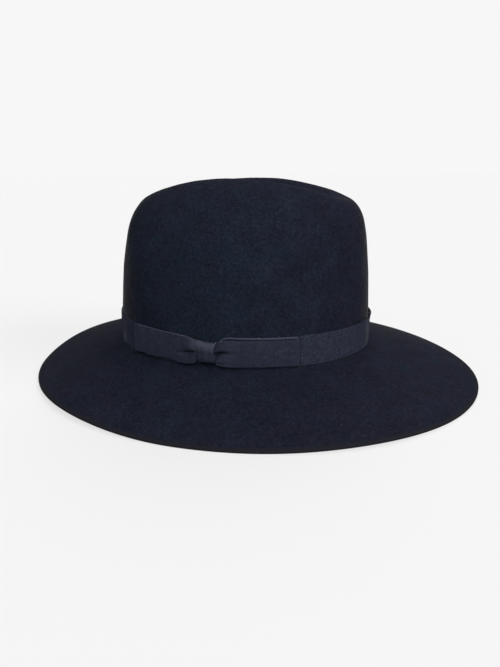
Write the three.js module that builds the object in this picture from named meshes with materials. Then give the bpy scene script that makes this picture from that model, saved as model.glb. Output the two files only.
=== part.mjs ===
// Brimmed felt hat with a lengthwise crown crease, a ribbon band and a flat bow on the right side.
// Millimetres. +X points to the front, +Y to the wearer's left, +Z up. The brim rests on z = 0.

import * as THREE from "three";

// Felt body, one piece of felt
const FELT = 2.0;
const BREAK_HEIGHT = 24.0;
const CROWN_HEIGHT = 128.0;
const CROWN_HALF_LENGTH = 102.0;
const CROWN_HALF_WIDTH = 84.0;
const CROWN_LEAN_POWER = 1.85;
const FILLET = 1.5;

// Crown outline by direction: how square its shoulder is, how far the wall leans in by the top,
// and the height of the shoulder as a share of the crown's
const CROWN_OUTLINE = {
  front: { squareness: 3.4, lean: 0.115, shoulder: 0.57 },
  back: { squareness: 2.4, lean: 0.255, shoulder: 0.76 },
  side: { squareness: 2.45, lean: 0.095, shoulder: 0.24 },
};

// Crease along the top: half width and depth at each place from back to front
const CREASE = [
  { x: -82, halfWidth: 20, depth: 0 },
  { x: -45, halfWidth: 28, depth: 15 },
  { x: 0, halfWidth: 30.5, depth: 24 },
  { x: 45, halfWidth: 36.5, depth: 22 },
  { x: 76, halfWidth: 30.5, depth: 8 },
  { x: 95, halfWidth: 14, depth: 0 },
];
const CREASE_POWER = 2;
const CREASE_STARTS = 0.55;
const CREASE_FULL = 0.85;

// Brim edge from the crown's centre, and the waves that lift it off the surface it rests on.
// Angles in degrees, 0 at the front, negative towards the wearer's right.
const BRIM_FRONT = 185.0;
const BRIM_BACK = 171.5;
const BRIM_SIDE = 149.5;
const BRIM_ARCH = 1.2;
const BRIM_FOOT = 3.0;
const BRIM_WAVES = [
  { angle: -118, halfSpan: 30, lift: 2.0 },
  { angle: -50, halfSpan: 27, lift: 1.0 },
  { angle: 55, halfSpan: 38, lift: 1.5 },
  { angle: 140, halfSpan: 36, lift: 1.5 },
  { angle: 166, halfSpan: 34, lift: 4.0 },
];

// Ribbon band and bow
const RIBBON = 1.0;
const GAP = 0.3;
const BAND_BOTTOM = 1.5;
const BAND_WIDTH = 21.5;
const BOW_ANGLE = -88.7;
const BOW_HALF_LENGTH = 63.5;
const LOOP_MEET = 0.4;
const LOOP_SETTLES = 18.0;
const KNOT_LENGTH = 12.0;
const KNOT_TALL = 15.3;
const KNOT_MIDDLE = 13.0;
const KNOT_CORNER = 0.3;

// The two loops: which way each runs, how tall its ribbon is, and the height of its middle
const LOOPS = {
  front: { side: 1, tall: 20, middle: 12.2 },
  back: { side: -1, tall: 21, middle: 12.6 },
};

// One leaf of a loop, by distance from the bow's middle: share of the ribbon's height it keeps
// where it is gathered, and how far the front leaf puffs off the back leaf
const LOOP_FORM = [
  { x: 0, gathered: 0.57, puff: 0 },
  { x: 6, gathered: 0.57, puff: 0 },
  { x: 9, gathered: 0.82, puff: 0.4 },
  { x: 13, gathered: 0.97, puff: 0.9 },
  { x: 18, gathered: 1, puff: 1.3 },
  { x: 63.5, gathered: 1, puff: 1.5 },
];

// Mesh fineness
const COLUMNS = 60;
const TOP_CROWDING = 1.15;
const DOME_ROWS = 20;
const WALL_ROWS = 3;
const FILLET_ROWS = 3;
const BRIM_ROWS = 6;
const LEAF_ROWS = 14;
const LEAF_CROWDING = 1.5;
const FOLD_ROWS = 4;
const KNOT_COLUMNS = 4;
const ARC_STEPS = 100;

const radians = (degrees) => (degrees * Math.PI) / 180;
const mix = (a, b, t) => a + (b - a) * t;

function smoothstep(low, high, value) {
  const t = Math.min(1, Math.max(0, (value - low) / (high - low)));
  return t * t * (3 - 2 * t);
}

// Smooth curve through one column of a table whose rows run along x
function along(rows, column, x) {
  const last = rows.length - 1;
  const place = Math.min(rows[last].x, Math.max(rows[0].x, x));
  let i = 0;
  while (i < last - 1 && rows[i + 1].x < place) {
    i += 1;
  }
  const slope = (k) => {
    if (k === 0 || k === last) {
      return 0;
    }
    return (rows[k + 1][column] - rows[k - 1][column]) / (rows[k + 1].x - rows[k - 1].x);
  };
  const span = rows[i + 1].x - rows[i].x;
  const t = (place - rows[i].x) / span;
  const rise = rows[i + 1][column] - rows[i][column];
  const bulge = t * (1 - t) * span * (slope(i) * (1 - t) - slope(i + 1) * t);
  const ease = t * t * (3 - 2 * t);
  return rows[i][column] + rise * ease + bulge;
}

// Crown

function crownOutline(angle) {
  const forward = Math.max(0, Math.cos(angle)) ** 2;
  const backward = Math.max(0, -Math.cos(angle)) ** 2;
  const sideways = Math.sin(angle) ** 2;
  const { front, back, side } = CROWN_OUTLINE;
  const blend = (key) => forward * front[key] + backward * back[key] + sideways * side[key];
  return { squareness: blend("squareness"), lean: blend("lean"), shoulder: blend("shoulder") };
}

function creaseDepth(x, y) {
  const inside = 1 - (y / along(CREASE, "halfWidth", x)) ** 2;
  return along(CREASE, "depth", x) * Math.max(0, inside) ** CREASE_POWER;
}

// Point on the crown's outer face: height above the break, reach as a share of the base oval,
// and how far off the face it stands
function crownPoint(angle, height, reach, standOff = 0) {
  const lean = crownOutline(angle).lean * (height / CROWN_HEIGHT) ** CROWN_LEAN_POWER;
  const scale = reach * (1 - lean);
  const x = (CROWN_HALF_LENGTH * scale + standOff) * Math.cos(angle);
  const y = (CROWN_HALF_WIDTH * scale + standOff) * Math.sin(angle);
  const creased = smoothstep(CREASE_STARTS, CREASE_FULL, height / CROWN_HEIGHT);
  return new THREE.Vector3(x, y, BREAK_HEIGHT + height - creased * creaseDepth(x, y));
}

// Shoulder and top: turn runs from 0 at the shoulder's foot to 1 at the middle of the top
function domePoint(angle, turn) {
  const { squareness, shoulder } = crownOutline(angle);
  const across = Math.cos((turn * Math.PI) / 2);
  const up = Math.sin((turn * Math.PI) / 2);
  const length = (across ** squareness + up ** squareness) ** (-1 / squareness);
  const height = CROWN_HEIGHT * mix(shoulder, 1, up * length);
  return crownPoint(angle, height, turn === 1 ? 0 : across * length);
}

function wallPoint(angle, share) {
  const top = CROWN_HEIGHT * crownOutline(angle).shoulder;
  return crownPoint(angle, mix(FILLET, top, share), 1);
}

// Brim

function brimLift(angle) {
  let lift = 0;
  for (const wave of BRIM_WAVES) {
    const turn = radians(wave.angle) - angle;
    const away = Math.abs(Math.atan2(Math.sin(turn), Math.cos(turn))) / radians(wave.halfSpan);
    lift += away < 1 ? wave.lift * Math.cos((away * Math.PI) / 2) ** 2 : 0;
  }
  return lift;
}

// Point on the brim's upper face, out from 0 at the break to 1 at the edge
function brimPoint(angle, out) {
  const ends = Math.cos(angle) > 0 ? BRIM_FRONT : BRIM_BACK;
  const x = mix(CROWN_HALF_LENGTH, ends, out) * Math.cos(angle);
  const y = mix(CROWN_HALF_WIDTH, BRIM_SIDE, out) * Math.sin(angle);
  const arch = BRIM_ARCH * 4 * out * (1 - out);
  return new THREE.Vector3(x, y, mix(BREAK_HEIGHT, brimLift(angle) + FELT, out) + arch);
}

function brimWidth(angle) {
  const inner = brimPoint(angle, 0);
  const outer = brimPoint(angle, 1);
  return Math.hypot(outer.x - inner.x, outer.y - inner.y);
}

// Small round where the wall turns out into the brim
function filletPoint(angle, t) {
  const wall = crownPoint(angle, FILLET, 1);
  const corner = crownPoint(angle, 0, 1);
  const brim = brimPoint(angle, FILLET / brimWidth(angle));
  const upper = wall.lerp(corner, t);
  const lower = corner.clone().lerp(brim, t);
  return upper.lerp(lower, t);
}

// Closed skins

function columnAngles() {
  return Array.from({ length: COLUMNS }, (_, i) => (2 * Math.PI * i) / COLUMNS);
}

// Triangles between neighbouring rows of points, each row a closed round
function bridge(indices, rowA, rowB, count) {
  for (let i = 0; i < count; i += 1) {
    const j = (i + 1) % count;
    indices.push(rowA + i, rowB + i, rowB + j);
    indices.push(rowA + i, rowB + j, rowA + j);
  }
}

function mesh(name, points, indices, material) {
  const geometry = new THREE.BufferGeometry();
  geometry.setAttribute("position", new THREE.Float32BufferAttribute(points.flatMap((p) => p.toArray()), 3));
  geometry.setIndex(indices);
  geometry.computeVertexNormals();
  const part = new THREE.Mesh(geometry, material);
  part.name = name;
  return part;
}

// Skin that starts and ends at a single point, with rounds of columns between them
function domedSkin(name, first, rows, last, material) {
  const points = [first, ...rows.flat(), last];
  const indices = [];
  for (let i = 0; i < COLUMNS; i += 1) {
    const j = (i + 1) % COLUMNS;
    const end = points.length - 1;
    indices.push(0, 1 + i, 1 + j);
    indices.push(end, end - COLUMNS + j, end - COLUMNS + i);
  }
  for (let r = 0; r + 1 < rows.length; r += 1) {
    bridge(indices, 1 + r * COLUMNS, 1 + (r + 1) * COLUMNS, COLUMNS);
  }
  return mesh(name, points, indices, material);
}

// Ribbon swept through sections, either closed on itself or capped at both ends
function sweptRibbon(name, sections, closed, material) {
  const corners = sections[0].length;
  const indices = [];
  const count = sections.length;
  for (let k = 0; k < (closed ? count : count - 1); k += 1) {
    bridge(indices, k * corners, ((k + 1) % count) * corners, corners);
  }
  if (!closed) {
    const end = (count - 1) * corners;
    indices.push(0, 1, 2, 0, 2, 3);
    indices.push(end, end + 2, end + 1, end, end + 3, end + 2);
  }
  return mesh(name, sections.flat(), indices, material);
}

// Felt body

function outerRows() {
  const rows = [];
  const addRow = (pointAt) => rows.push(columnAngles().map(pointAt));
  for (let r = 1; r <= DOME_ROWS; r += 1) {
    const turn = 1 - (r / DOME_ROWS) ** TOP_CROWDING;
    addRow((angle) => domePoint(angle, turn));
  }
  for (let r = 1; r < WALL_ROWS; r += 1) {
    addRow((angle) => wallPoint(angle, 1 - r / WALL_ROWS));
  }
  for (let r = 0; r <= FILLET_ROWS; r += 1) {
    addRow((angle) => filletPoint(angle, r / FILLET_ROWS));
  }
  for (let r = 1; r <= BRIM_ROWS; r += 1) {
    addRow((angle) => {
      const start = FILLET / brimWidth(angle);
      const foot = 1 - BRIM_FOOT / brimWidth(angle);
      return brimPoint(angle, mix(start, foot, r / BRIM_ROWS));
    });
  }
  return rows;
}

// The same rows moved in by the felt's thickness
function innerRows(rows) {
  const inner = [];
  for (let r = 0; r < rows.length; r += 1) {
    const above = rows[Math.max(0, r - 1)];
    const below = rows[Math.min(rows.length - 1, r + 1)];
    const row = rows[r].map((point, i) => {
      const before = rows[r][(i + COLUMNS - 1) % COLUMNS];
      const after = rows[r][(i + 1) % COLUMNS];
      const down = below[i].clone().sub(above[i]);
      const around = after.clone().sub(before);
      const normal = down.cross(around).normalize();
      return point.clone().addScaledVector(normal, -FELT);
    });
    inner.push(row);
  }
  return inner;
}

function feltBody(material) {
  const outer = outerRows();
  const inner = innerRows(outer);
  const edge = columnAngles().map((angle) => brimPoint(angle, 1));
  const under = edge.map((point) => point.clone().setZ(point.z - FELT));
  const foot = inner.pop();
  foot.forEach((point, i) => point.setZ(under[i].z));
  const top = domePoint(0, 1);
  const ceiling = top.clone().setZ(top.z - FELT);
  const rows = [...outer, edge, under, foot, ...inner.reverse()];
  return domedSkin("felt_body", top, rows, ceiling, material);
}

// Hat band

function hatBand(material) {
  const low = BAND_BOTTOM;
  const high = BAND_BOTTOM + BAND_WIDTH;
  const sections = columnAngles().map((angle) => [
    crownPoint(angle, low, 1, GAP),
    crownPoint(angle, low, 1, GAP + RIBBON),
    crownPoint(angle, high, 1, GAP + RIBBON),
    crownPoint(angle, high, 1, GAP),
  ]);
  return sweptRibbon("hat_band", sections, true, material);
}

// Bow

// Angle on the band's face at a distance along it from the middle of the bow, front side positive
function angleAlongBand(distance) {
  let angle = radians(BOW_ANGLE);
  for (let k = 0; k < ARC_STEPS; k += 1) {
    const speed = Math.hypot(
      CROWN_HALF_LENGTH * Math.sin(angle),
      CROWN_HALF_WIDTH * Math.cos(angle),
    );
    angle += distance / ARC_STEPS / speed;
  }
  return angle;
}

const KNOT_BACK = GAP + RIBBON + GAP;
const LOOP_BACK = KNOT_BACK + RIBBON + GAP;
const LOOP_REST = KNOT_BACK;

function bowPoint(distance, height, standOff) {
  return crownPoint(angleAlongBand(distance), height, 1, standOff);
}

// One section of a loop's ribbon, between a place on its skin and one on its lining
function loopSection(loop, skin, lining) {
  const corner = (face, edge) => {
    const tall = loop.tall * along(LOOP_FORM, "gathered", face.out);
    const settled = smoothstep(KNOT_LENGTH / 2, LOOP_SETTLES, face.out);
    const middle = mix(KNOT_MIDDLE, loop.middle, settled);
    return bowPoint(loop.side * face.out, middle + (edge * tall) / 2, face.off);
  };
  const corners = [corner(skin, -1), corner(lining, -1), corner(lining, 1), corner(skin, 1)];
  return loop.side > 0 ? corners : corners.reverse();
}

// Back leaf out to the end, round the fold, and the front leaf back to the knot
function bowLoop(name, loop, material) {
  const rest = (out) => mix(LOOP_BACK, LOOP_REST, smoothstep(KNOT_LENGTH / 2, LOOP_SETTLES, out));
  const hollow = (out) => GAP + along(LOOP_FORM, "puff", out);
  const foldHollow = hollow(BOW_HALF_LENGTH) / 2;
  const foldAt = BOW_HALF_LENGTH - foldHollow - RIBBON;
  const foldMiddle = LOOP_REST + RIBBON + foldHollow;
  const sections = [];
  for (let k = 0; k <= LEAF_ROWS; k += 1) {
    const out = mix(LOOP_MEET, foldAt, (k / LEAF_ROWS) ** LEAF_CROWDING);
    sections.push(loopSection(loop, { out, off: rest(out) }, { out, off: rest(out) + RIBBON }));
  }
  for (let k = 1; k < FOLD_ROWS; k += 1) {
    const turn = (Math.PI * k) / FOLD_ROWS - Math.PI / 2;
    const onFold = (radius) => ({
      out: foldAt + radius * Math.cos(turn),
      off: foldMiddle + radius * Math.sin(turn),
    });
    sections.push(loopSection(loop, onFold(foldHollow + RIBBON), onFold(foldHollow)));
  }
  for (let k = LEAF_ROWS; k >= 0; k -= 1) {
    const out = mix(LOOP_MEET, foldAt, (k / LEAF_ROWS) ** LEAF_CROWDING);
    const lining = rest(out) + RIBBON + hollow(out);
    sections.push(loopSection(loop, { out, off: lining + RIBBON }, { out, off: lining }));
  }
  return sweptRibbon(name, sections, false, material);
}

// Outline of the knot's wrap in height and stand-off, grown out from its lining
function knotOutline(grow) {
  const reach = KNOT_TALL / 2 - RIBBON + grow;
  const back = KNOT_BACK + RIBBON - grow;
  const front = LOOP_BACK + 2 * RIBBON + 2 * GAP + grow;
  const cut = KNOT_CORNER + grow / 2;
  return [
    { height: KNOT_MIDDLE - reach, off: back },
    { height: KNOT_MIDDLE + reach, off: back },
    { height: KNOT_MIDDLE + reach, off: front - cut },
    { height: KNOT_MIDDLE + reach - cut, off: front },
    { height: KNOT_MIDDLE - reach + cut, off: front },
    { height: KNOT_MIDDLE - reach, off: front - cut },
  ];
}

// Short ribbon wrapped once round the gathered middle of the bow
function bowKnot(material) {
  const skin = knotOutline(RIBBON);
  const sections = knotOutline(0).map((lining, k) => {
    const rows = { lining: [], skin: [] };
    for (let i = 0; i <= KNOT_COLUMNS; i += 1) {
      const out = KNOT_LENGTH * (i / KNOT_COLUMNS - 0.5);
      rows.lining.unshift(bowPoint(out, lining.height, lining.off));
      rows.skin.push(bowPoint(out, skin[k].height, skin[k].off));
    }
    return [...rows.skin, ...rows.lining];
  });
  return sweptRibbon("bow_knot", sections, true, material);
}

function buildHat() {
  const felt = new THREE.MeshStandardMaterial({ color: 0x1e222d, roughness: 0.95, metalness: 0 });
  const ribbon = new THREE.MeshStandardMaterial({ color: 0x272b35, roughness: 0.7, metalness: 0 });
  const hat = new THREE.Group();
  hat.name = "brimmed_hat";
  hat.position.x = (BRIM_BACK - BRIM_FRONT) / 2;
  hat.add(feltBody(felt));
  hat.add(hatBand(ribbon.clone()));
  hat.add(bowLoop("bow_loop_front", LOOPS.front, ribbon.clone()));
  hat.add(bowLoop("bow_loop_back", LOOPS.back, ribbon.clone()));
  hat.add(bowKnot(ribbon.clone()));
  return hat;
}

export default buildHat();
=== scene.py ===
import bpy
import numpy as np
from mathutils import Matrix


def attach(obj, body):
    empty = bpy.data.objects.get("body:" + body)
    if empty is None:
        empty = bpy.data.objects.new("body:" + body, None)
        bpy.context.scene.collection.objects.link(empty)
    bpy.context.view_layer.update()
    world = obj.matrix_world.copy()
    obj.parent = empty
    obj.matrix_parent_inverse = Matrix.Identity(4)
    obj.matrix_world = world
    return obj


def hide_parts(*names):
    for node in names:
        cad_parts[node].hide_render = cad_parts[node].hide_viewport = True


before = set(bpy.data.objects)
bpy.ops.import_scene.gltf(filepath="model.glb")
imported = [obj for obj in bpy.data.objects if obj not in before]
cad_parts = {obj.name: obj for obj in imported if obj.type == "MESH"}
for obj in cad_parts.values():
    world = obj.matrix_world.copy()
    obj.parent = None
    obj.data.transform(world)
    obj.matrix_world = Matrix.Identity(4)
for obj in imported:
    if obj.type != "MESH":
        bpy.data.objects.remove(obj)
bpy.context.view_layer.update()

# Sizes in millimetres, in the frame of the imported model: +X front, +Y the wearer's left, +Z up.
# Angles in degrees round the crown, 0 at the front and negative towards the wearer's right.
MM = 0.001
SEED = 11

# Felt body
FELT = 2.0
CROWN_AT_X = -6.75
BREAK_HEIGHT = 24.0
CROWN_HEIGHT = 128.0
CROWN_HALF_LENGTH = 102.0
CROWN_HALF_WIDTH = 84.0
CROWN_LEAN_POWER = 1.85
FILLET = 1.5
CROWN_OUTLINE = {
    "front": {"squareness": 3.4, "lean": 0.115, "shoulder": 0.57},
    "back": {"squareness": 2.4, "lean": 0.255, "shoulder": 0.76},
    "side": {"squareness": 2.45, "lean": 0.095, "shoulder": 0.24},
}
CREASE = {
    "x": (-82, -45, 0, 45, 76, 95),
    "half_width": (20, 28, 30.5, 36.5, 30.5, 14),
    "depth": (0, 15, 24, 22, 8, 0),
}
CREASE_POWER = 2.0
CREASE_STARTS = 0.55
CREASE_FULL = 0.85
BRIM_FRONT = 185.0
BRIM_BACK = 171.5
BRIM_SIDE = 149.5
BRIM_ARCH = 1.2
BRIM_FOOT = 3.0
BRIM_WAVES = {
    "angle": (-118, -50, 55, 140, 166),
    "half_span": (30, 27, 38, 36, 34),
    "lift": (2.0, 1.0, 1.5, 1.5, 4.0),
}
EDGE_ROUND = 0.55

# Unevenness of the felt: height and wavelength of its waves, the share of them left beside the
# band, how far above it they are whole again, and the rows over which they end at the brim's edge
FELT_WAVES = ((0.22, 46.0), (0.07, 13.0))
BAND_SIDE_SHARE = 0.3
BAND_SIDE_FADE = 14.0
EDGE_CALM_ROWS = 6

# Felt mesh
COLUMNS = 320
TOP_CROWDING = 1.15
DOME_ROWS = 92
WALL_ROWS = 18
FILLET_ROWS = 6
BRIM_ROWS = 34
INNER_STEP = 2
EDGE_STEPS = 4

# Ribbons: thickness, pitch and height of the ribs, how far each rib swells the edge, how round
# the grooves are, the mesh's columns by distance from an edge, the share of the thickness left
# right at an edge, and the distance from the middle past which a column counts as the edge
RIBBON = 0.5
RIB_PITCH = 1.0
RIB_HEIGHT = 0.08
RIB_SCALLOP = 0.12
RIB_GROOVE = 1e-6
STEPS_PER_RIB = 4
SELVEDGE = (0.0, 0.12, 0.5, 1.1)
EDGE_THICKNESS = 0.45
EDGE_SHARE = 0.499

# Band: stand-off of its inner face, the flare of its top edge towards the front, and how far its
# edges are drawn in where the bow is sewn on, by distance from the bow's middle
BAND_BACK = 0.28
BAND_BOTTOM = 1.5
BAND_TOP = 23.0
BAND_ROWS = 3
FLARE_ANGLE = 12.0
FLARE_SPAN = 48.0
FLARE_OUT = 1.2
FLARE_TALL = 5.0
FLARE_LOOSE = 0.6
BAND_DRAWN = {
    "x": (-50, -31, -23, -17, -13, -10, -6, 0, 6, 9, 12, 16, 20),
    "top": (0, 0.5, 0.8, 1.0, 1.6, 2.7, 3.4, 3.5, 3.5, 2.7, 0.9, 0.1, 0),
    "bottom": (0, 0, 0, 0, 0.3, 1.0, 2.2, 2.6, 2.2, 1.2, 0.4, 0, 0),
}
BAND_WAVE = 55.0
BAND_WAVER = 0.06
BAND_TOP_WAVER = 0.12
BAND_ROLL = 1.6
BAND_ROLL_IN = 0.28

# Bow, by distance from its middle along the band
BOW_ANGLE = -88.7
BOW_HALF_LENGTH = 63.5
LOOP_REACH = {"front": 62.0, "back": 63.5}
LOOP_MEET = 0.4
LOOP_ROWS = 33
BACK_LEAF = {"x": (0, 6.2, 8.5, 12, 18, 63.5), "off": (2.35, 2.35, 1.8, 1.5, 1.4, 1.4)}
BACK_LOOP = {
    "x": (0, 6.0, 7.2, 8.5, 10, 13, 17, 23, 31, 39, 48, 56, 63.5),
    "top": (17.6, 18.3, 20.3, 21.3, 21.9, 22.6, 22.95, 23.1, 23.4, 23.6, 23.8, 23.7, 23.6),
    "bottom": (8.6, 7.6, 5.6, 4.7, 4.2, 3.6, 3.2, 3.4, 4.5, 3.8, 3.4, 3.8, 3.2),
    "off": (3.9, 4.6, 5.8, 6.0, 5.9, 5.3, 4.7, 4.2, 3.9, 3.9, 4.1, 4.5, 5.2),
    "bulge": (0.6, 0.9, 1.1, 1.0, 0.9, 0.6, 0.5, 0.5, 0.5, 0.5, 0.5, 0.5, 0.5),
    "valley": (0.0, 0.0, 0.7, 1.7, 2.5, 2.8, 1.1, 0.1, 0.0, 0.0, 0.0, 0.0, 0.0),
    "valley_at": (0.46, 0.47, 0.485, 0.475, 0.45, 0.405, 0.38, 0.38, 0.38, 0.38, 0.38, 0.38, 0.38),
    "raised": (0.0, -0.2, -0.9, -1.4, -1.6, -1.4, -0.9, -0.4, -0.4, -0.4, -0.4, -0.4, -0.4),
}
FRONT_LOOP = {
    "x": (0, 6.1, 6.6, 7.0, 8, 9.4, 12, 16, 23, 36, 49, 63.5),
    "top": (17.4, 17.5, 17.7, 17.9, 19.4, 21.1, 22.1, 22.2, 21.9, 21.8, 21.6, 21.5),
    "bottom": (8.6, 7.8, 5.6, 5.0, 4.7, 4.4, 3.9, 3.45, 3.1, 3.3, 3.1, 2.7),
    "off": (3.9, 5.0, 5.25, 5.45, 5.75, 5.9, 5.6, 4.7, 3.7, 3.4, 3.2, 3.1),
    "bulge": (0.6, 0.8, 0.8, 0.8, 0.8, 0.7, 0.6, 0.5, 0.5, 0.5, 0.5, 0.5),
    "valley": (0.0, 0.8, 1.6, 2.2, 2.7, 2.8, 2.2, 0.6, 0.1, 0.0, 0.0, 0.0),
    "valley_at": (0.50, 0.50, 0.58, 0.61, 0.57, 0.52, 0.50, 0.50, 0.50, 0.50, 0.50, 0.50),
    "raised": (0.0, 0.0, 0.0, 0.0, 0.1, 0.3, 0.9, 1.2, 1.35, 1.35, 1.35, 1.35),
}
VALLEY_NARROW = {"front": (0.045, 0.13), "back": (0.055, 0.065)}
VALLEY_WIDE = 0.15
VALLEY_SHARP = 0.65
PLEATS = 4.5
PLEAT_DEEP = {"front": 0.2, "back": 0.08}
PLEAT_REACH = 9.0
PLEAT_GROWS = (3.0, 7.0)
PLEAT_SLANT = 5.0
PLEAT_PHASE = 0.8
LEAF_RISE = 0.25
LEAF_SETTLE = 6.0
LEAF_FLATTENS = (9.0, 1.0)
BACK_LEAF_BOTTOM = 0.4
BACK_LEAF_ROLL = 0.4
BACK_LEAF_ROLL_SHARES = (0.9, 1.0)
BACK_LEAF_ROLL_GROWS = (6.0, 10.0)

# Knot; a pair named SHARES is places across its ribbon, one named TALL heights from its middle
KNOT_LENGTH = 12.0
KNOT_MIDDLE = 13.3
KNOT_HALF_TALL = 7.3
KNOT_MIDDLE_OFF = 4.0
KNOT_HALF_DEEP = 2.5
KNOT_SQUARENESS = 2.8
KNOT_ROWS = 17
KNOT_FINE_STEPS = 4001
KNOT_NORMAL_STEP = 0.001
KNOT_WAIST = 0.05
KNOT_FOLDS = 2.5
KNOT_FOLD_DEEP = 0.14
KNOT_FOLD_AT = 0.86
KNOT_CURL = -0.35
KNOT_CURL_SHARES = (0.2, 0.0)
# Painted highlight on the knot's upper half: heights above its middle over which it grows, its
# share, and its slant along X
KNOT_HIGHLIGHT = (0.4, 4.0)
KNOT_HIGHLIGHT_SHARE = 0.56
KNOT_HIGHLIGHT_SLANT = 0.2
KNOT_LEFT_OUT = 1.4
KNOT_LEFT_IN = -0.9
KNOT_LEFT_SHARES = (0.5, 0.0)
KNOT_LEFT_TALL = (-1.0, 5.0)
KNOT_RIGHT_OUT = 0.5
KNOT_RIGHT_SHARES = (0.6, 1.0)
KNOT_RIGHT_TALL = (4.0, 7.0)
KNOT_TOP_DROP = 1.3
KNOT_DROP_SHARES = (0.0, 0.5)
KNOT_DROP_TALL = (3.0, 6.5)

# Camera, in millimetres and degrees
CAMERA_AT = (116.91, -378.60, 152.04)
CAMERA_YAW = 17.237
CAMERA_PITCH = 18.022
CAMERA_ROLL = -0.580
FOCAL_PIXELS = 495.83
IMAGE_LONG_SIDE = 667.0
SENSOR = 36.0

rng = np.random.default_rng(SEED)


def mix(a, b, t):
    return a + (b - a) * t


def smoothstep(low, high, value):
    t = np.clip((value - low) / (high - low), 0, 1)
    return t * t * (3 - 2 * t)


def along(table, column, x):
    """Smooth curve through one column of a table whose rows run along x."""
    xs = np.array(table["x"], float)
    ys = np.array(table[column], float)
    slopes = np.zeros(len(xs))
    slopes[1:-1] = (ys[2:] - ys[:-2]) / (xs[2:] - xs[:-2])
    place = np.clip(x, xs[0], xs[-1])
    i = np.clip(np.searchsorted(xs, place) - 1, 0, len(xs) - 2)
    span = xs[i + 1] - xs[i]
    t = (place - xs[i]) / span
    bulge = t * (1 - t) * span * (slopes[i] * (1 - t) - slopes[i + 1] * t)
    return ys[i] + (ys[i + 1] - ys[i]) * t * t * (3 - 2 * t) + bulge


def unevenness(points, wavelength, waves=9):
    """Smooth random field over space, mostly between -1 and 1."""
    directions = rng.normal(size=(waves, 3))
    directions /= np.linalg.norm(directions, axis=1, keepdims=True)
    lengths = wavelength * rng.uniform(0.7, 1.6, waves)
    phases = rng.uniform(0, 2 * np.pi, waves)
    field = 0
    for direction, length, phase in zip(directions, lengths, phases):
        field = field + np.sin(points @ direction * (2 * np.pi / length) + phase)
    return field / np.sqrt(waves)


def squircle(across, up, squareness):
    """Length that brings a direction onto a rounded square."""
    return (across**squareness + up**squareness) ** (-1 / squareness)


def signed(turn):
    """The same turn, counted from half a round back to half a round on."""
    return np.arctan2(np.sin(turn), np.cos(turn))


def hump(turn, half_span):
    """1 at no turn, falling smoothly to 0 at half_span degrees to either side."""
    away = np.abs(signed(turn)) / np.radians(half_span)
    return np.cos(np.minimum(away, 1) * np.pi / 2) ** 2


# Crown and brim


def crown_outline(angle):
    forward = np.maximum(0, np.cos(angle)) ** 2
    backward = np.maximum(0, -np.cos(angle)) ** 2
    sideways = np.sin(angle) ** 2
    front, back, side = (CROWN_OUTLINE[k] for k in ("front", "back", "side"))
    return [
        forward * front[k] + backward * back[k] + sideways * side[k]
        for k in ("squareness", "lean", "shoulder")
    ]


def creases(x, y):
    inside = np.maximum(0, 1 - (y / along(CREASE, "half_width", x)) ** 2)
    return along(CREASE, "depth", x) * inside ** CREASE_POWER


def crown_point(angle, height, reach=1.0, stand_off=0.0):
    """Point on or off the crown's outer face, height measured from the break."""
    lean = crown_outline(angle)[1] * (np.maximum(0, height) / CROWN_HEIGHT) ** CROWN_LEAN_POWER
    scale = reach * (1 - lean)
    x = (CROWN_HALF_LENGTH * scale + stand_off) * np.cos(angle)
    y = (CROWN_HALF_WIDTH * scale + stand_off) * np.sin(angle)
    creased = smoothstep(CREASE_STARTS, CREASE_FULL, height / CROWN_HEIGHT)
    z = BREAK_HEIGHT + height - creased * creases(x, y)
    return np.stack(np.broadcast_arrays(x + CROWN_AT_X, y, z), axis=-1)


def dome_point(angle, turn):
    squareness, _, shoulder = crown_outline(angle)
    across = np.cos(turn * np.pi / 2)
    up = np.sin(turn * np.pi / 2)
    length = squircle(across, up, squareness)
    height = CROWN_HEIGHT * mix(shoulder, 1, up * length)
    return crown_point(angle, height, across * length)


def wall_point(angle, share):
    shoulder = CROWN_HEIGHT * crown_outline(angle)[2]
    return crown_point(angle, mix(FILLET, shoulder, share))


def brim_lift(angle):
    lift = 0
    for middle, half_span, rise in zip(*BRIM_WAVES.values()):
        lift = lift + rise * hump(np.radians(middle) - angle, half_span)
    return lift


def brim_point(angle, out):
    ends = np.where(np.cos(angle) > 0, BRIM_FRONT, BRIM_BACK)
    x = mix(CROWN_HALF_LENGTH, ends, out) * np.cos(angle)
    y = mix(CROWN_HALF_WIDTH, BRIM_SIDE, out) * np.sin(angle)
    z = mix(BREAK_HEIGHT, brim_lift(angle) + FELT, out) + BRIM_ARCH * 4 * out * (1 - out)
    return np.stack(np.broadcast_arrays(x + CROWN_AT_X, y, z), axis=-1)


def brim_width(angle):
    return np.linalg.norm((brim_point(angle, 1.0) - brim_point(angle, 0.0))[..., :2], axis=-1)


def fillet_point(angle, t):
    wall = crown_point(angle, FILLET)
    corner = crown_point(angle, 0.0)
    brim = brim_point(angle, FILLET / brim_width(angle))
    return mix(mix(wall, corner, t), mix(corner, brim, t), t)


# Meshes


def add_object(name, points, faces, material, weave=None, cut=None):
    """Smooth mesh piece from points in millimetres; weave holds the ribbon's own coordinates."""
    mesh = bpy.data.meshes.new(name)
    mesh.from_pydata((points * MM).tolist(), [], faces)
    mesh.materials.append(material)
    mesh.polygons.foreach_set("use_smooth", [True] * len(mesh.polygons))
    if weave is not None:
        corners = np.empty(len(mesh.loops), int)
        mesh.loops.foreach_get("vertex_index", corners)
        layer = mesh.uv_layers.new(name="weave")
        layer.data.foreach_set("uv", weave[corners].ravel())
    if cut is not None:
        mesh.attributes.new("cut", "FLOAT", "POINT").data.foreach_set("value", cut)
    mesh.update()
    piece = bpy.data.objects.new(name, mesh)
    bpy.context.scene.collection.objects.link(piece)
    return piece


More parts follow.
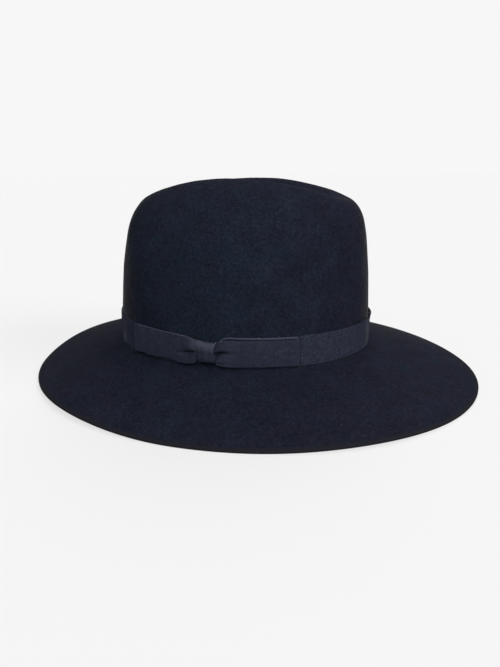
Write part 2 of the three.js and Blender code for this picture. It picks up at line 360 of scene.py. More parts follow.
def grid_faces(rows, columns, closed_rows, first=0):
    """Quads of rounds of points, facing out when the rows go on and the columns go round."""
    r = np.arange(rows if closed_rows else rows - 1)
    r, c = (a.ravel() for a in np.meshgrid(r, np.arange(columns), indexing="ij"))
    here, below = r * columns, (r + 1) % rows * columns
    right = (c + 1) % columns
    quads = np.stack([here + c, below + c, below + right, here + right], axis=1)
    return (quads + first).tolist()


def grid_normals(rows):
    """Outward normals of closed rounds of points, listed from the top out and down."""
    down = np.gradient(rows, axis=0)
    round_ = (np.roll(rows, -1, axis=1) - np.roll(rows, 1, axis=1)) / 2
    normals = np.cross(down, round_)
    return normals / np.linalg.norm(normals, axis=-1, keepdims=True)


# Felt body


def felt_body(material):
    angles = np.arange(COLUMNS) * 2 * np.pi / COLUMNS
    rows = []
    for r in range(1, DOME_ROWS + 1):
        rows.append(dome_point(angles, 1 - (r / DOME_ROWS) ** TOP_CROWDING))
    for r in range(1, WALL_ROWS):
        rows.append(wall_point(angles, 1 - r / WALL_ROWS))
    for r in range(FILLET_ROWS + 1):
        rows.append(fillet_point(angles, r / FILLET_ROWS))
    start = FILLET / brim_width(angles)
    foot = 1 - BRIM_FOOT / brim_width(angles)
    for r in range(1, BRIM_ROWS + 1):
        rows.append(brim_point(angles, mix(start, foot, r / BRIM_ROWS)))
    outer = np.array(rows)
    normals = grid_normals(outer)
    inner = (outer - normals * FELT)[::INNER_STEP]
    height = outer[..., 2] - BREAK_HEIGHT
    waver = sum(tall * unevenness(outer, wavelength) for tall, wavelength in FELT_WAVES)
    whole = smoothstep(BAND_TOP, BAND_TOP + BAND_SIDE_FADE, np.abs(height))
    waver = waver * mix(BAND_SIDE_SHARE, 1, whole)
    calm = smoothstep(0, EDGE_CALM_ROWS, len(rows) - 1 - np.arange(len(rows)))[:, None]
    outer = outer + normals * (waver * calm)[..., None]

    rim = brim_point(angles, 1.0)
    outward = np.stack([np.cos(angles), np.sin(angles), np.zeros(COLUMNS)], axis=-1)
    upper, lower = [], []
    for k in range(EDGE_STEPS + 1):
        turn = k / EDGE_STEPS * np.pi / 2
        back = EDGE_ROUND * (1 - np.sin(turn))
        drop = EDGE_ROUND * (1 - np.cos(turn))
        upper.append(rim - outward * back - [0, 0, drop])
        lower.append(rim - outward * back - [0, 0, FELT - drop])
    edge = upper + lower[::-1]
    under = brim_point(angles, foot)
    under[:, 2] = rim[:, 2] - FELT
    ring = np.concatenate([outer, np.array(edge), under[None], inner[::-1][1:]])

    top = dome_point(0.0, 1.0)
    ceiling = top - [0, 0, FELT]
    points = np.concatenate([top[None], ring.reshape(-1, 3), ceiling[None]])
    faces = grid_faces(len(ring), COLUMNS, False, first=1)
    last = len(points) - 1
    for c in range(COLUMNS):
        d = (c + 1) % COLUMNS
        faces.append([0, 1 + c, 1 + d])
        faces.append([last, last - COLUMNS + d, last - COLUMNS + c])
    cut = np.zeros((len(ring), COLUMNS))
    cut[len(outer) : len(outer) + len(edge)] = 1
    cut = np.concatenate([[0], cut.ravel(), [0]])
    return add_object("felt", points, faces, material, cut=cut)


# Ribbons


def rib_profile(length):
    """Height of the ribs along a ribbon, 0 in the grooves and 1 on the crests."""
    return np.sqrt(0.5 - 0.5 * np.cos(2 * np.pi * length / RIB_PITCH) + RIB_GROOVE)


def across_shares(width, inner_rows):
    """Places across a ribbon from 0 to 1, close together at both selvedges."""
    edge = np.array(SELVEDGE) / width
    inner = np.linspace(edge[-1], 1 - edge[-1], inner_rows + 2)[1:-1]
    return np.concatenate([edge, inner, 1 - edge[::-1]])


def half_thickness(shares, width):
    """Half a ribbon's thickness across it, thinner right at the rounded edges."""
    from_edge = np.minimum(shares, 1 - shares) * width
    return RIBBON / 2 * np.interp(from_edge, (0, SELVEDGE[1]), (EDGE_THICKNESS, 1.0))


def scallop(rib, shares):
    """How far the ribs swell the two edges of a ribbon."""
    at_edge = np.abs(shares - 0.5) > EDGE_SHARE
    return RIB_SCALLOP * (rib - 0.5) * at_edge * np.sign(shares - 0.5)


def there_and_back(outer, inner):
    """Round of a ribbon's section: across its outer face and back across its inner face."""
    return np.concatenate([outer, inner[:, ::-1]], axis=1)


def weave_at(place, across):
    """The ribbon's own coordinates of every point: along it and across it."""
    return np.stack(np.broadcast_arrays(place[:, None], across), axis=-1).reshape(-1, 2)


# Band


def angle_along_band(distance, steps=100):
    """Angle on the crown at a distance along the band from the bow's middle."""
    angle = np.radians(BOW_ANGLE) + np.zeros(np.shape(distance))
    for _ in range(steps):
        speed = np.hypot(CROWN_HALF_LENGTH * np.sin(angle), CROWN_HALF_WIDTH * np.cos(angle))
        angle = angle + distance / steps / speed
    return angle


def band_lengths(count=20000):
    """Angles once round the crown and the band's length up to each."""
    fine = np.linspace(0, 2 * np.pi, count + 1)
    speed = np.hypot(CROWN_HALF_LENGTH * np.sin(fine), CROWN_HALF_WIDTH * np.cos(fine))
    return fine, np.concatenate([[0], np.cumsum((speed[1:] + speed[:-1]) / 2 * fine[1])])


def hat_band(material):
    fine, length = band_lengths()
    ribs = round(length[-1] / RIB_PITCH)
    sections = ribs * STEPS_PER_RIB
    place = np.arange(sections) / sections * ribs * RIB_PITCH
    angles = np.interp(place / (ribs * RIB_PITCH) * length[-1], length, fine)[:, None]
    rib = rib_profile(place)[:, None]

    width = BAND_TOP - BAND_BOTTOM
    shares = across_shares(width, BAND_ROWS)[None, :]
    half = half_thickness(shares, width)
    flared = hump(angles - np.radians(FLARE_ANGLE), FLARE_SPAN)
    distance = signed(angles - np.radians(BOW_ANGLE)) * CROWN_HALF_LENGTH
    waver = unevenness(crown_point(angles, BAND_TOP), BAND_WAVE)
    low = BAND_BOTTOM + along(BAND_DRAWN, "bottom", distance)
    high = BAND_TOP + BAND_TOP_WAVER * waver - along(BAND_DRAWN, "top", distance)
    height = mix(low, high, shares) + scallop(rib, shares)
    lip = np.clip(1 - (high - height) / FLARE_TALL, 0, 1) ** 2
    rolled = np.clip(1 - (high - height) / BAND_ROLL, 0, 1) ** 2 * BAND_ROLL_IN * (1 - flared)
    middle = BAND_BACK + RIBBON / 2 + FLARE_LOOSE * flared
    middle = middle + lip * (FLARE_OUT * flared + BAND_WAVER * (1 + waver))
    middle = middle + BAND_ROLL_IN * (1 - flared) / 2 - rolled
    outer = crown_point(angles, height, 1.0, middle + half + RIB_HEIGHT * (rib - 0.5))
    inner = crown_point(angles, height, 1.0, middle - half - RIB_HEIGHT / 2 * (rib - 0.5))
    ring = there_and_back(outer, inner)
    weave = weave_at(place, there_and_back(shares, shares) * width)
    faces = grid_faces(sections, ring.shape[1], True)
    return add_object("band", ring.reshape(-1, 3), faces, material, weave)


# Bow


def bow_point(distance, height, stand_off):
    return crown_point(angle_along_band(distance), height, 1.0, stand_off)


def bow_loop(name, table, side, material):
    """One ribbon: the back leaf out, round the fold, and the front leaf back to the knot."""
    which = "front" if side > 0 else "back"
    back_off = along(BACK_LEAF, "off", np.array(BOW_HALF_LENGTH)) + RIBBON / 2
    front_off = along(table, "off", np.array(BOW_HALF_LENGTH)) - RIBBON / 2
    radius = (front_off - back_off) / 2
    bend = np.pi * radius
    fold_at = LOOP_REACH[which] - radius - RIBBON / 2
    leaf = fold_at - LOOP_MEET
    length = 2 * leaf + bend
    ribs = round(length / RIB_PITCH)
    sections = ribs * STEPS_PER_RIB + 1
    place = np.linspace(0, length, sections)
    along_it = place[:, None]
    rib = rib_profile(np.linspace(0, ribs * RIB_PITCH, sections))[:, None]
    turn = np.clip((along_it - leaf) / radius, 0, np.pi)
    on_back = along_it < leaf
    on_front = along_it > leaf + bend
    out = np.where(on_front, fold_at - (along_it - leaf - bend), fold_at)
    out = np.where(on_back, LOOP_MEET + along_it, out)

    top, bottom, off, bulge, valley, valley_at, raised = (
        along(table, column, out)
        for column in ("top", "bottom", "off", "bulge", "valley", "valley_at", "raised")
    )
    tall = top - bottom
    widest = float(tall.max())
    shares = across_shares(widest, LOOP_ROWS)[None, :]
    half = half_thickness(shares, widest)
    leaf_side = 1 - turn / np.pi
    bottom = bottom + BACK_LEAF_BOTTOM * leaf_side
    top = top + raised * leaf_side
    height = mix(bottom, top, shares) + scallop(rib, shares) * (tall / widest)

    above, below = VALLEY_NARROW[which]
    reach = np.where(shares > valley_at, above, below)
    narrow = np.exp(-(((shares - valley_at) / reach) ** 2))
    wide = np.exp(-(((shares - valley_at) / VALLEY_WIDE) ** 2))
    near = np.exp(-np.maximum(0, out - KNOT_LENGTH / 2) / PLEAT_REACH)
    near = near * smoothstep(*PLEAT_GROWS, out)
    slant = out / PLEAT_SLANT * (side < 0)
    waves = np.cos(2 * np.pi * (PLEATS * shares - slant) + PLEAT_PHASE * side)
    pleats = PLEAT_DEEP[which] * near * waves
    crowned = bulge * (1 - (2 * shares - 1) ** 2) - bulge + LEAF_RISE
    plain = off - RIBBON / 2
    front = plain + crowned + pleats - valley * mix(wide, narrow, VALLEY_SHARP)
    lowest = along(BACK_LEAF, "off", out) + 2 * RIBBON
    front = lowest + np.logaddexp(0, (front - lowest) * LEAF_SETTLE) / LEAF_SETTLE
    front = mix(front, plain, smoothstep(*LEAF_FLATTENS, fold_at - out))
    rolled = smoothstep(*BACK_LEAF_ROLL_SHARES, shares) * smoothstep(*BACK_LEAF_ROLL_GROWS, out)
    back = along(BACK_LEAF, "off", out) + RIBBON / 2 - BACK_LEAF_ROLL * rolled
    bent = (back_off + radius) - radius * np.cos(turn)
    middle = np.where(on_back, back, np.where(on_front, front, bent))
    out_middle = out + np.where(on_back | on_front, 0, radius * np.sin(turn))

    def face(sign, lift):
        reach = sign * half + lift
        distance = side * (out_middle + np.sin(turn) * reach)
        return bow_point(distance, height, middle - np.cos(turn) * reach)

    outer = face(1, RIB_HEIGHT * (rib - 0.5))
    inner = face(-1, -RIB_HEIGHT / 2 * (rib - 0.5))
    ring = there_and_back(outer, inner)
    points_round = ring.shape[1]
    faces = grid_faces(sections, points_round, False)
    last = (sections - 1) * points_round
    for c in range(points_round // 2 - 1):
        other = points_round - 1 - c
        end = [c, c + 1, other - 1, other]
        faces.append(end)
        faces.append([last + i for i in reversed(end)])
    if side > 0:
        faces = [quad[::-1] for quad in faces]
    weave = weave_at(place, (1 - there_and_back(shares, shares)) * widest)
    return add_object(name, ring.reshape(-1, 3), faces, material, weave)


def bow_knot(material):
    """Short ribbon wrapped round the gathered middle of the bow."""

    def wrap(turn):
        c, s = np.cos(turn), np.sin(turn)
        size = squircle(np.abs(c), np.abs(s), KNOT_SQUARENESS)
        return KNOT_HALF_TALL * s * size, KNOT_HALF_DEEP * c * size

    fine = np.linspace(0, 2 * np.pi, KNOT_FINE_STEPS)
    tall, deep = wrap(fine)
    length = np.concatenate([[0], np.cumsum(np.hypot(np.diff(tall), np.diff(deep)))])
    ribs = round(length[-1] / RIB_PITCH)
    sections = ribs * STEPS_PER_RIB
    place = np.arange(sections) / sections
    turn = np.interp(place * length[-1], length, fine)
    tall, deep = (a[:, None] for a in wrap(turn))
    ahead = np.array(wrap(turn + KNOT_NORMAL_STEP)) - np.array(wrap(turn - KNOT_NORMAL_STEP))
    ahead /= np.linalg.norm(ahead, axis=0)
    normal_tall, normal_deep = -ahead[1][:, None], ahead[0][:, None]
    place = place * ribs * RIB_PITCH
    rib = rib_profile(place)[:, None]

    shares = across_shares(KNOT_LENGTH, KNOT_ROWS)[None, :]
    half = half_thickness(shares, KNOT_LENGTH)
    facing = np.clip(deep / KNOT_HALF_DEEP, 0, 1)
    waist = 1 - KNOT_WAIST * (1 - (tall / KNOT_HALF_TALL) ** 2)
    out = (shares - 0.5) * KNOT_LENGTH * waist + scallop(rib, shares)
    upper_right = smoothstep(*KNOT_RIGHT_SHARES, shares)
    out = out + KNOT_RIGHT_OUT * upper_right * smoothstep(*KNOT_RIGHT_TALL, tall)
    slant = mix(KNOT_LEFT_IN, KNOT_LEFT_OUT, smoothstep(*KNOT_LEFT_TALL, tall)) * facing
    out = out - slant * smoothstep(*KNOT_LEFT_SHARES, shares)
    folds = KNOT_FOLD_DEEP * facing * np.cos(2 * np.pi * KNOT_FOLDS * (shares - KNOT_FOLD_AT))
    lift = folds + KNOT_CURL * facing * smoothstep(*KNOT_CURL_SHARES, shares)
    drop = KNOT_TOP_DROP * smoothstep(*KNOT_DROP_SHARES, shares)
    drop = drop * smoothstep(*KNOT_DROP_TALL, tall)

    def face(sign, rise):
        reach = sign * half + lift + rise
        height = KNOT_MIDDLE + tall - drop - normal_tall * reach
        return bow_point(out, height, KNOT_MIDDLE_OFF + deep - normal_deep * reach)

    outer = face(-1, -RIB_HEIGHT * (rib - 0.5) - 2 * lift)
    inner = face(1, RIB_HEIGHT / 2 * (rib - 0.5) - 2 * lift)
    ring = there_and_back(outer, inner)
    faces = [quad[::-1] for quad in grid_faces(sections, ring.shape[1], True)]
    weave = weave_at(place, there_and_back(shares, shares) * KNOT_LENGTH)
    return add_object("knot", ring.reshape(-1, 3), faces, material, weave)


# Materials


class Nodes:
    """Node tree of one material, with a Principled shader at its end."""

    def __init__(self, name):
        self.material = bpy.data.materials.new(name)
        self.material.use_nodes = True
        self.tree = self.material.node_tree
        self.shader = self.tree.nodes["Principled BSDF"]

    def add(self, kind, inputs, **settings):
        made = self.tree.nodes.new("ShaderNode" + kind)
        for key, value in settings.items():
            setattr(made, key, value)
        for key, value in inputs.items():
            self.feed(made.inputs[key], value)
        return made

    def feed(self, socket, value):
        if isinstance(value, bpy.types.NodeSocket):
            self.tree.links.new(value, socket)
        else:
            socket.default_value = value

    def shade(self, **inputs):
        for key, value in inputs.items():
            self.feed(self.shader.inputs[key.replace("_", " ")], value)

    def math(self, operation, *values, clamp=False):
        inputs = dict(enumerate(values))
        return self.add("Math", inputs, operation=operation, use_clamp=clamp).outputs[0]

    def noise(self, place, scale, detail, **more):
        inputs = {"Vector": place, "Scale": scale, "Detail": detail}
        inputs.update((key.capitalize(), value) for key, value in more.items())
        return self.add("TexNoise", inputs).outputs["Fac"]

    def blend(self, share, a, b):
        """Colour between a and b."""
        made = self.add("Mix", {}, data_type="RGBA")
        self.feed(made.inputs["Factor"], share)
        self.feed(made.inputs[6], a)
        self.feed(made.inputs[7], b)
        return made.outputs[2]

    def between(self, share, a, b):
        """Number between a and b."""
        return self.add("Mix", {0: share, 2: a, 3: b}).outputs[0]

    def spread(self, value, low, high, to_low, to_high):
        """Value spread from one range to another, and held at its ends."""
        inputs = {"Value": value, "From Min": low, "From Max": high}
        inputs.update({"To Min": to_low, "To Max": to_high})
        return self.add("MapRange", inputs).outputs["Result"]


# Most of a noise's values lie in this range
NOISE = (0.3, 0.7)

# Felt: two dye tones, their mix redder away from one place, and how far each noise moves the tone
FELT_TEAL = (0.0102, 0.0152, 0.0250, 1)
FELT_PLUM = (0.0113, 0.0115, 0.0200, 1)
FELT_DYE = (0.2, 0.8)
FELT_REDDER = {"around": (-7.0, -84.0, 80.0), "range": (30.0, 120.0), "share": 0.3}
FELT_NOISE = {
    "dye": {"scale": 85.0, "detail": 2.0},
    "mottle": {"scale": 60.0, "detail": 5.0, "roughness": 0.6},
    "nap": {"scale": 520.0, "detail": 6.0, "roughness": 0.7, "distortion": 0.8},
    "hairs": {"scale": 1700.0, "detail": 3.0, "roughness": 0.6, "distortion": 2.0},
}
FELT_DEPTH = {"mottle": 0.14, "nap": 0.48, "hairs": 0.45}
FELT_CUT = (0.0150, 0.0150, 0.0190, 1)
# Painted shade on the felt just above the loose part of the band, where it stands off the crown,
# and rare pale flecks
FELT_GAP_SHADE = {"x": (84.0, 95.0), "z": (47.2, 49.2), "crown": (38.0, 42.0), "share": 0.85}
FELT_PAINTED_SHADE = (0.0035, 0.0040, 0.0070, 1)
FELT_FLECK = (0.050, 0.052, 0.062, 1)
FLECKS = {"scale": 210.0, "near": (0.06, 0.13), "chance": (0.90, 0.93), "share": 0.7}

# Ribbon: tone between dark and light from its ribs, threads, single ribs, cloud and specks
RIBBON_DARK = (0.0166, 0.0192, 0.0310, 1)
RIBBON_LIGHT = (0.0292, 0.0334, 0.0510, 1)
# Tones laid over the ribbon: a painted highlight, and a painted shade
RIBBON_PAINTED_HIGHLIGHT = (0.0630, 0.0675, 0.0920, 1)
RIBBON_PAINTED_SHADE = (0.0060, 0.0075, 0.0130, 1)
RIBBON_TONE = {
    "rib": (0.35, 0.6),
    "threads": (-0.2, 0.25),
    "each": (-0.07, 0.07),
    "cloud": (-0.35, 0.35),
}
RIBBON_RELIEF = {"rib": 0.6, "threads": 0.4}
RIBBON_THREADS = (0.8, 6.0, 1.0)
SPECKLED = {"band": 0.8, "bow": 0.4}

# Painted light and shade on the ribbons, by distance along and across them: where the back leaf
# ends and where the back loop gives way to the front one, painted shade in the creases beside the
# knot, on the band beside the loops' ends and under the back leaves' selvedge, and painted
# highlight on that selvedge and on the gathers
BACK_LEAF_ENDS = (60.0, 62.0)
FRONT_SIDE = (-6.0, 0.0)
CREASE_SHADE = {
    "along": (109.0, 115.0),
    "above": (-5.0, -0.6),
    "below": (0.6, 5.0),
    "turns": (116.0, 120.0),
    "left": {"at": (11.4, 10.6), "share": 0.3},
    "right": {"at": (9.4, 7.4), "share": 0.85},
}
LOOP_SHADE = {"left": 16.0, "left_share": 0.5, "right": 2.2, "right_share": 0.9, "under": 1.0}
SELVEDGE_PALE = (0.7, 1.0)
SELVEDGE_HIGHLIGHT_SHARE = 0.55
SELVEDGE_GAP_SHADE_SHARE = 0.9
GATHER_HIGHLIGHT = {
    "along": (114.0, 120.5),
    "left": (0.42, 0.0),
    "left_across": (8.5, 10.0),
    "right": (0.16, 0.4),
    "right_across": (12.0, 17.0),
}


def felt_material():
    n = Nodes("felt")
    place = n.add("TexCoord", {}).outputs["Object"]
    noise = {name: n.noise(place, **settings) for name, settings in FELT_NOISE.items()}
    around = [v * MM for v in FELT_REDDER["around"]]
    far = n.add("VectorMath", {0: place, 1: around}, operation="DISTANCE").outputs["Value"]
    most = FELT_REDDER["share"]
    redder = n.spread(far, *(v * MM for v in FELT_REDDER["range"]), -most, most)
    dye = n.spread(noise["dye"], *FELT_DYE, 0.0, 1.0)
    tone = n.blend(n.math("ADD", dye, redder, clamp=True), FELT_TEAL, FELT_PLUM)
    for name, depth in FELT_DEPTH.items():
        shade = n.spread(noise[name], *NOISE, 1 - depth, 1 + depth)
        tone = n.add("VectorMath", {0: tone, "Scale": shade}, operation="SCALE").outputs[0]

    # Painted shade on the felt just above the loose band's top edge
    at = n.add("SeparateXYZ", {"Vector": place}).outputs
    loose = n.spread(at["X"], *(v * MM for v in FELT_GAP_SHADE["x"]), 0.0, FELT_GAP_SHADE["share"])
    near_band = n.spread(at["Z"], *(v * MM for v in FELT_GAP_SHADE["z"]), 1.0, 0.0)
    crown = n.spread(at["Z"], *(v * MM for v in FELT_GAP_SHADE["crown"]), 0.0, 1.0)
    gap_shade = n.math("MULTIPLY", loose, n.math("MULTIPLY", crown, near_band))
    tone = n.blend(gap_shade, tone, FELT_PAINTED_SHADE)
    cut = n.add("Attribute", {}, attribute_type="GEOMETRY", attribute_name="cut").outputs["Fac"]
    tone = n.blend(cut, tone, FELT_CUT)
    cells = {"Vector": place, "Scale": FLECKS["scale"], "Randomness": 1.0}
    fleck = n.add("TexVoronoi", cells, feature="F1").outputs
    chosen = n.add("SeparateColor", {"Color": fleck["Color"]}).outputs["Red"]
    near = n.spread(fleck["Distance"], *FLECKS["near"], 1.0, 0.0)
    chance = n.spread(chosen, *FLECKS["chance"], 0.0, FLECKS["share"])
    tone = n.blend(n.math("MULTIPLY", near, chance), tone, FELT_FLECK)

    relief = n.math("ADD", noise["nap"], noise["hairs"])
    bump = n.add("Bump", {"Strength": 0.6, "Distance": 0.00025, "Height": relief})
    roughness = n.spread(noise["nap"], *NOISE, 0.86, 0.98)
    n.shade(Base_Color=tone, Normal=bump.outputs["Normal"], Roughness=roughness)
    n.shade(Specular_IOR_Level=0.02, Sheen_Weight=0.17, Sheen_Roughness=0.13)
    n.shade(Sheen_Tint=(1.0, 0.94, 0.75, 1.0))
    return n.material


def on_back_leaf(n, weave):
    return n.spread(weave["X"], *BACK_LEAF_ENDS, 1.0, 0.0)


def on_front_side(n, place):
    x = n.add("SeparateXYZ", {"Vector": place}).outputs["X"]
    return n.spread(x, *(v * MM for v in FRONT_SIDE), 0.0, 1.0)


def bow_painted_highlight(n, weave, place):
    """Painted highlight: on the back leaves' top selvedge, and on the gathers of the front leaves.
    """
    edge = n.spread(weave["Y"], *SELVEDGE_PALE, SELVEDGE_HIGHLIGHT_SHARE, 0.0)
    edge = n.math("MULTIPLY", edge, on_back_leaf(n, weave))
    near = n.spread(weave["X"], *GATHER_HIGHLIGHT["along"], 0.0, 1.0)
    left, right = (
        n.spread(weave["Y"], *GATHER_HIGHLIGHT[side + "_across"], *GATHER_HIGHLIGHT[side])
        for side in ("left", "right")
    )
    share = n.between(on_front_side(n, place), left, right)
    return n.math("MAXIMUM", edge, n.math("MULTIPLY", near, share))


def bow_painted_shade(n, weave, place):
    """Painted shade: on the back leaves under that selvedge, and in the creases of the front
    leaves.
    """
    below = n.spread(weave["Y"], *SELVEDGE_PALE, 0.0, SELVEDGE_GAP_SHADE_SHARE)
    gap = n.math("MULTIPLY", below, on_back_leaf(n, weave))
    side = on_front_side(n, place)
    left, right = (
        n.spread(weave["X"], *CREASE_SHADE["turns"], *CREASE_SHADE[which]["at"])
        for which in ("left", "right")
    )
    off = n.math("SUBTRACT", weave["Y"], n.between(side, left, right))
    shares = (CREASE_SHADE[which]["share"] for which in ("left", "right"))
    deep = n.math(
        "MULTIPLY",
        n.spread(off, *CREASE_SHADE["above"], 0.0, 1.0),
        n.spread(off, *CREASE_SHADE["below"], 1.0, 0.0),
    )
    deep = n.math("MULTIPLY", deep, n.spread(side, 0.0, 1.0, *shares))
    near = n.spread(weave["X"], *CREASE_SHADE["along"], 0.0, 1.0)
    return n.math("MAXIMUM", gap, n.math("MULTIPLY", deep, near))


def band_painted_shade(n, weave, place):
    """Painted shade on the band right beside the ends of both loops."""
    fine, length = band_lengths()
    middle = np.interp(np.radians(BOW_ANGLE) % (2 * np.pi), fine, length)
    left = middle - LOOP_REACH["back"]
    right = middle + LOOP_REACH["front"]
    under = LOOP_SHADE["under"]
    reach = right + LOOP_SHADE["right"]
    beside = n.spread(weave["X"], left - LOOP_SHADE["left"], left, 0.0, LOOP_SHADE["left_share"])
    before = n.spread(weave["X"], left + under, left + 2 * under, 1.0, 0.0)
    within = n.spread(weave["X"], right - under, right, 0.0, 1.0)
    after = n.spread(weave["X"], right, reach, LOOP_SHADE["right_share"], 0.0)
    beside = n.math("MULTIPLY", beside, before)
    return n.math("MAXIMUM", beside, n.math("MULTIPLY", within, after))


def knot_painted_highlight(n, weave, place):
    """Painted highlight on the knot's upper half, where light from above falls."""
    at = n.add("SeparateXYZ", {"Vector": place}).outputs
    slanted = n.math("MULTIPLY_ADD", at["X"], KNOT_HIGHLIGHT_SLANT, at["Z"])
    middle = BREAK_HEIGHT + KNOT_MIDDLE + KNOT_HIGHLIGHT_SLANT * bow_point(0.0, 0.0, 0.0)[0]
    low, high = ((middle + h) * MM for h in KNOT_HIGHLIGHT)
    return n.spread(slanted, low, high, 0.0, KNOT_HIGHLIGHT_SHARE)


def ribbon_material(name, speckled, painted_highlight=None, painted_shade=None):
    n = Nodes(name)
    weave = n.add("UVMap", {}, uv_map="weave").outputs["UV"]
    place = n.add("TexCoord", {}).outputs["Object"]
    parts = n.add("SeparateXYZ", {"Vector": weave}).outputs
    rib = n.math("COSINE", n.math("MULTIPLY", parts["X"], 2 * np.pi / RIB_PITCH))
    crest = n.spread(rib, 1.0, -1.0, 0.0, 1.0)
    whole = n.math("FLOOR", parts["X"])
    each = n.add("TexWhiteNoise", {"W": whole}, noise_dimensions="1D").outputs["Value"]
    stretched = {0: weave, 1: RIBBON_THREADS}
    stretched = n.add("VectorMath", stretched, operation="MULTIPLY").outputs[0]
    threads = n.noise(stretched, 1.0, 3.0, roughness=0.6)
    cloud = n.noise(place, 240.0, 5.0, roughness=0.65)
    specks = n.noise(place, 900.0, 2.0, roughness=0.6)
    share = n.spread(crest, 0, 1, *RIBBON_TONE["rib"])
    for value in (
        n.spread(threads, *NOISE, *RIBBON_TONE["threads"]),
        n.spread(each, 0, 1, *RIBBON_TONE["each"]),
        n.spread(specks, *NOISE, -speckled, speckled),
    ):
        share = n.math("ADD", share, value)
    clouded = n.spread(cloud, *NOISE, *RIBBON_TONE["cloud"])
    tone = n.blend(n.math("ADD", share, clouded, clamp=True), RIBBON_DARK, RIBBON_LIGHT)
    # Painted highlight and painted shade, where masks for them are given
    if painted_highlight:
        tone = n.blend(painted_highlight(n, parts, place), tone, RIBBON_PAINTED_HIGHLIGHT)
    if painted_shade:
        tone = n.blend(painted_shade(n, parts, place), tone, RIBBON_PAINTED_SHADE)
    relief = n.math(
        "ADD",
        n.spread(crest, 0, 1, 0, RIBBON_RELIEF["rib"]),
        n.spread(threads, 0, 1, 0, RIBBON_RELIEF["threads"]),
    )
    bump = n.add("Bump", {"Strength": 0.5, "Distance": 0.00012, "Height": relief})
    roughness = n.spread(threads, *NOISE, 0.56, 0.68)
    n.shade(Base_Color=tone, Normal=bump.outputs["Normal"], Roughness=roughness)
    n.shade(Specular_IOR_Level=0.0, Sheen_Weight=1.0, Sheen_Roughness=0.065)
    return n.material


# Pieces

felt = felt_body(felt_material())
band = hat_band(ribbon_material("band_ribbon", SPECKLED["band"], painted_shade=band_painted_shade))
bow_ribbon = ribbon_material("bow_ribbon", SPECKLED["bow"], bow_painted_highlight, bow_painted_shade)
front_loop = bow_loop("front_loop", FRONT_LOOP, 1, bow_ribbon)
back_loop = bow_loop("back_loop", BACK_LOOP, -1, bow_ribbon)
knot = bow_knot(ribbon_material("knot_ribbon", SPECKLED["bow"], knot_painted_highlight))

for piece, node, slot in (
    (felt, "felt_body", "felt"),
    (band, "hat_band", "band_ribbon"),
    (front_loop, "bow_loop_front", "bow_ribbon"),
    (back_loop, "bow_loop_back", "bow_ribbon"),
    (knot, "bow_knot", "knot_ribbon"),
):
    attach(piece, "root")
    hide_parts(node)

# Floor and light: radius in metres, angles in degrees, turns counted from the camera's side

FLOOR_RADIUS = 60.0
FLOOR_SIDES = 128
FLOOR_PALE = 0.32
FLOOR_GLOW = 0.55
BACKDROP = 0.93
SKY = 0.21
LIGHTS = (
    {"name": "front", "turn": 0, "height": 38, "strength": 2.45, "spread": 35},
    {"name": "right", "turn": 68, "height": 24, "strength": 1.5, "spread": 35},
    {"name": "left", "turn": -60, "height": 30, "strength": 0.08, "spread": 35},
    {"name": "rim", "turn": 165, "height": 45, "strength": 1.2, "spread": 40},
)


def floor_disc():
    turn = np.arange(FLOOR_SIDES) * 2 * np.pi / FLOOR_SIDES
    points = FLOOR_RADIUS / MM * np.stack([np.cos(turn), np.sin(turn), 0 * turn], axis=-1)
    n = Nodes("floor")
    pale = (FLOOR_PALE, FLOOR_PALE, FLOOR_PALE, 1)
    matt = n.add("BsdfDiffuse", {"Color": pale}).outputs["BSDF"]
    glow = {"Color": (1, 1, 1, 1), "Strength": FLOOR_GLOW}
    glow = n.add("Emission", glow).outputs["Emission"]
    both = n.add("AddShader", {0: matt, 1: glow}).outputs["Shader"]
    n.feed(n.tree.nodes["Material Output"].inputs["Surface"], both)
    return add_object("floor", points, [list(range(FLOOR_SIDES))], n.material)


def background(tree, strength):
    made = tree.nodes.new("ShaderNodeBackground")
    made.inputs["Color"].default_value = (1, 1, 1, 1)
    made.inputs["Strength"].default_value = strength
    return made.outputs[0]


def axes_matrix(right, up, back):
    """Matrix of an object whose own X, Y and Z axes point these ways."""
    return Matrix(np.column_stack([right, up, back]).tolist()).to_4x4()


ground = floor_disc()
ground.visible_diffuse = False
ground.visible_glossy = False

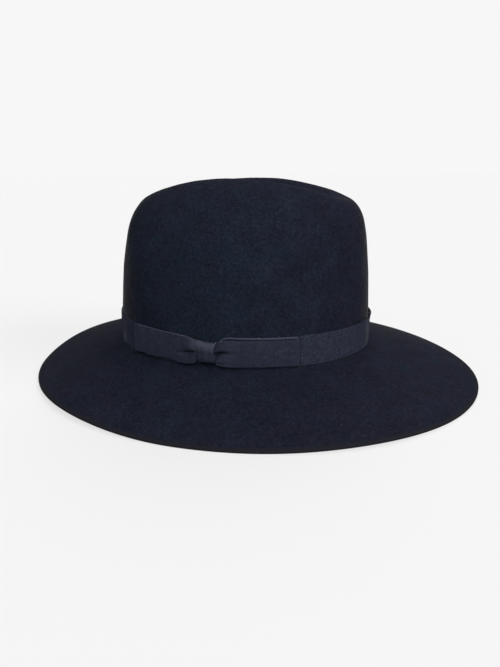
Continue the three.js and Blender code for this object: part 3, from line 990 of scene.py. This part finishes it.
world = bpy.data.worlds.new("sky")
bpy.context.scene.world = world
world.use_nodes = True
tree = world.node_tree
tree.nodes.clear()
sky, seen = (background(tree, strength) for strength in (SKY, BACKDROP))
path = tree.nodes.new("ShaderNodeLightPath")
joined = tree.nodes.new("ShaderNodeMixShader")
output = tree.nodes.new("ShaderNodeOutputWorld")
tree.links.new(path.outputs["Is Camera Ray"], joined.inputs[0])
tree.links.new(sky, joined.inputs[1])
tree.links.new(seen, joined.inputs[2])
tree.links.new(joined.outputs[0], output.inputs["Surface"])

for light in LIGHTS:
    data = bpy.data.lights.new(light["name"], "SUN")
    data.energy = light["strength"]
    data.angle = np.radians(light["spread"])
    lamp = bpy.data.objects.new(light["name"], data)
    turn = np.arctan2(CAMERA_AT[1], CAMERA_AT[0]) + np.radians(light["turn"])
    height = np.radians(light["height"])
    out = np.array([np.cos(turn), np.sin(turn), 0.0])
    towards = out * np.cos(height) + np.array([0.0, 0.0, np.sin(height)])
    side = np.cross((0.0, 0.0, 1.0), towards)
    side /= np.linalg.norm(side)
    lamp.matrix_world = axes_matrix(side, np.cross(towards, side), towards)
    bpy.context.scene.collection.objects.link(lamp)

# Camera

yaw, pitch, roll = np.radians([CAMERA_YAW, CAMERA_PITCH, CAMERA_ROLL])
ahead = np.array([-np.sin(yaw) * np.cos(pitch), np.cos(yaw) * np.cos(pitch), -np.sin(pitch)])
level = np.array([np.cos(yaw), np.sin(yaw), 0])
upright = np.cross(level, ahead)
right = level * np.cos(roll) + upright * np.sin(roll)
above = upright * np.cos(roll) - level * np.sin(roll)
camera_data = bpy.data.cameras.new("camera")
camera_data.lens = FOCAL_PIXELS * SENSOR / IMAGE_LONG_SIDE
camera_data.sensor_width = SENSOR
camera_data.clip_start = 0.01
camera_data.clip_end = 200.0
camera = bpy.data.objects.new("camera", camera_data)
placed = axes_matrix(right, above, -ahead)
placed.translation = [MM * v for v in CAMERA_AT]
camera.matrix_world = placed
bpy.context.scene.collection.objects.link(camera)
bpy.context.scene.camera = camera
bpy.context.scene.view_settings.view_transform = "Standard"
